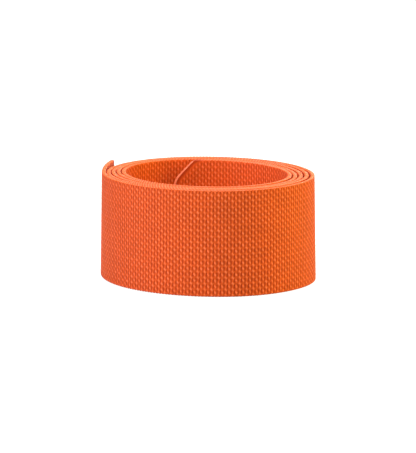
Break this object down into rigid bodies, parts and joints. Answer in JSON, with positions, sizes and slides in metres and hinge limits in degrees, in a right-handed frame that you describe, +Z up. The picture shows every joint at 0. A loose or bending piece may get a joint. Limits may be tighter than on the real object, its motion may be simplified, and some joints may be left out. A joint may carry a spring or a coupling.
{
  "type": "webbing strap roll",
  "caption": "Heavy flat woven webbing strap wound on edge into a loose roll, with both heat-sealed ends free to lift off the roll.",
  "frame": {"origin": "on the floor under the middle of the roll", "axes": "+Z up along the roll's axis, -Y towards the side with the first hinge of the outer end, +X to the right of it"},
  "size_m": [0.1024, 0.1012, 0.05],
  "materials": {
    "webbing": "matt woven polypropylene or polyester, orange",
    "melted_edge": "heat-sealed, slightly glossy"
  },
  "bodies": {
    "coil": {"turn_1": "webbing", "turn_2": "webbing", "turn_3": "webbing", "turn_4": "webbing", "turn_5": "webbing"},
    "outer_wrap_1": {"outer_wrap_1": "webbing"},
    "outer_wrap_2": {"outer_wrap_2": "webbing"},
    "outer_wrap_3": {"outer_wrap_3": "webbing"},
    "outer_wrap_4": {"outer_wrap_4": "webbing"},
    "outer_wrap_5": {"outer_wrap_5": "webbing"},
    "outer_wrap_6": {"outer_wrap_6": "webbing"},
    "outer_wrap_7": {"outer_wrap_7": "webbing"},
    "outer_tail_1": {"outer_tail_1": "webbing"},
    "outer_tail_2": {"outer_tail_2": "webbing"},
    "outer_tail_3": {"outer_tail_3": "webbing", "outer_sealed_end": "melted_edge"},
    "inner_end_1": {"inner_end_1": "webbing"},
    "inner_end_2": {"inner_end_2": "webbing"},
    "inner_end_3": {"inner_end_3": "webbing"},
    "inner_end_4": {"inner_end_4": "webbing", "inner_sealed_end": "melted_edge"}
  },
  "joints": [
    {"name": "outer_turn_peel", "type": "hinge", "parent": "coil", "child": "outer_wrap_1", "pos_m": [0.00575, -0.04962, 0.025], "axis": [0, 0, 1], "range_deg": [0, 11.5]},
    {"name": "outer_turn_peel_2", "type": "hinge", "parent": "outer_wrap_1", "child": "outer_wrap_2", "pos_m": [-0.0067, -0.04822, 0.025], "axis": [0, 0, 1], "range_deg": [0, 11.5]},
    {"name": "outer_turn_peel_3", "type": "hinge", "parent": "outer_wrap_2", "child": "outer_wrap_3", "pos_m": [-0.01852, -0.04408, 0.025], "axis": [0, 0, 1], "range_deg": [0, 11.5]},
    {"name": "outer_turn_peel_4", "type": "hinge", "parent": "outer_wrap_3", "child": "outer_wrap_4", "pos_m": [-0.02913, -0.03741, 0.025], "axis": [0, 0, 1], "range_deg": [0, 11.5]},
    {"name": "outer_turn_peel_5", "type": "hinge", "parent": "outer_wrap_4", "child": "outer_wrap_5", "pos_m": [-0.03799, -0.02856, 0.025], "axis": [0, 0, 1], "range_deg": [0, 11.5]},
    {"name": "outer_turn_peel_6", "type": "hinge", "parent": "outer_wrap_5", "child": "outer_wrap_6", "pos_m": [-0.04466, -0.01795, 0.025], "axis": [0, 0, 1], "range_deg": [0, 11.5]},
    {"name": "outer_turn_peel_7", "type": "hinge", "parent": "outer_wrap_6", "child": "outer_wrap_7", "pos_m": [-0.0488, -0.00612, 0.025], "axis": [0, 0, 1], "range_deg": [0, 11.5]},
    {"name": "outer_tip_bend", "type": "hinge", "parent": "outer_wrap_7", "child": "outer_tail_1", "pos_m": [-0.0502, 0.00633, 0.025], "axis": [0, 0, 1], "range_deg": [-5.5, 13]},
    {"name": "outer_tip_bend_2", "type": "hinge", "parent": "outer_tail_1", "child": "outer_tail_2", "pos_m": [-0.04982, 0.01699, 0.025], "axis": [0, 0, 1], "range_deg": [-5.5, 13]},
    {"name": "outer_tip_bend_3", "type": "hinge", "parent": "outer_tail_2", "child": "outer_tail_3", "pos_m": [-0.04869, 0.02759, 0.025], "axis": [0, 0, 1], "range_deg": [-5.5, 13]},
    {"name": "inner_end_curl", "type": "hinge", "parent": "coil", "child": "inner_end_1", "pos_m": [0.02617, 0.02663, 0.025], "axis": [0, 0, 1], "range_deg": [0, 12]},
    {"name": "inner_end_curl_2", "type": "hinge", "parent": "inner_end_1", "child": "inner_end_2", "pos_m": [0.01695, 0.0337, 0.025], "axis": [0, 0, 1], "range_deg": [0, 12]},
    {"name": "inner_end_curl_3", "type": "hinge", "parent": "inner_end_2", "child": "inner_end_3", "pos_m": [0.00622, 0.03814, 0.025], "axis": [0, 0, 1], "range_deg": [0, 12]},
    {"name": "inner_end_curl_4", "type": "hinge", "parent": "inner_end_3", "child": "inner_end_4", "pos_m": [-0.00568, 0.03888, 0.025], "axis": [0, 0, 1], "range_deg": [0, 12]}
  ],
  "couplings": [
    {"joint": "outer_turn_peel_2", "follows": "outer_turn_peel", "ratio": 1},
    {"joint": "outer_turn_peel_3", "follows": "outer_turn_peel", "ratio": 1},
    {"joint": "outer_turn_peel_4", "follows": "outer_turn_peel", "ratio": 1},
    {"joint": "outer_turn_peel_5", "follows": "outer_turn_peel", "ratio": 1},
    {"joint": "outer_turn_peel_6", "follows": "outer_turn_peel", "ratio": 1},
    {"joint": "outer_turn_peel_7", "follows": "outer_turn_peel", "ratio": 1},
    {"joint": "outer_tip_bend_2", "follows": "outer_tip_bend", "ratio": 1},
    {"joint": "outer_tip_bend_3", "follows": "outer_tip_bend", "ratio": 1},
    {"joint": "inner_end_curl_2", "follows": "inner_end_curl", "ratio": 1},
    {"joint": "inner_end_curl_3", "follows": "inner_end_curl", "ratio": 1},
    {"joint": "inner_end_curl_4", "follows": "inner_end_curl", "ratio": 1}
  ]
}
